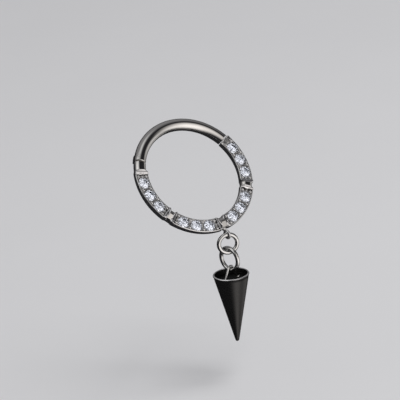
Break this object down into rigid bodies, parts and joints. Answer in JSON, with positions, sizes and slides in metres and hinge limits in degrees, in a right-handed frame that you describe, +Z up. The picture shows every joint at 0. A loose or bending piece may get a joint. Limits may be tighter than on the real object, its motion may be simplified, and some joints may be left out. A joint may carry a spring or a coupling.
{
  "type": "piercing ring",
  "caption": "Hinged segment ring for a piercing, with a plain round bar, clear stones set in curved panels and a cone-shaped spike hanging from jump rings.",
  "frame": {"origin": "middle of the wire at the ring's highest point on the plain bar, where the ring hangs in the piercing", "axes": "+Z up along the line that the spike hangs on, +X along the bar at the origin, ring facing -Y and leaning back 40 degrees from upright"},
  "size_m": [0.0126, 0.0104, 0.0213],
  "materials": {
    "polished_steel": "polished",
    "setting_steel": "polished",
    "clear_stone": "facet cut",
    "link_steel": "polished",
    "spike_steel": "polished"
  },
  "bodies": {
    "bar": {"bar": "polished_steel", "hinge_pin": "polished_steel"},
    "stone_half": {"stone_half": "setting_steel", "stone_01": "clear_stone", "stone_02": "clear_stone", "stone_03": "clear_stone", "stone_04": "clear_stone", "stone_05": "clear_stone", "stone_06": "clear_stone", "stone_07": "clear_stone", "stone_08": "clear_stone", "stone_09": "clear_stone", "stone_10": "clear_stone", "stone_11": "clear_stone", "stone_12": "clear_stone"},
    "upper_link": {"upper_link": "link_steel"},
    "lower_link": {"lower_link": "link_steel"},
    "spike": {"spike": "spike_steel"}
  },
  "joints": [
    {"name": "ring_hinge", "type": "hinge", "parent": "bar", "child": "stone_half", "pos_m": [-0.00478, -0.00137, -0.00164], "axis": [0, 0.766, -0.6428], "range_deg": [0, 60]},
    {"name": "drop_swing", "type": "hinge", "parent": "stone_half", "child": "upper_link", "pos_m": [0.00042, -0.00796, -0.00952], "axis": [1, 0, 0], "range_deg": [-40, 40]},
    {"name": "link_swing", "type": "hinge", "parent": "upper_link", "child": "lower_link", "pos_m": [0.00042, -0.00796, -0.01094], "axis": [0.1736, -0.9848, 0], "range_deg": [-30, 30]},
    {"name": "spike_swing", "type": "hinge", "parent": "lower_link", "child": "spike", "pos_m": [0.00042, -0.00796, -0.01318], "axis": [0.1736, -0.9848, 0], "range_deg": [-30, 30]}
  ]
}
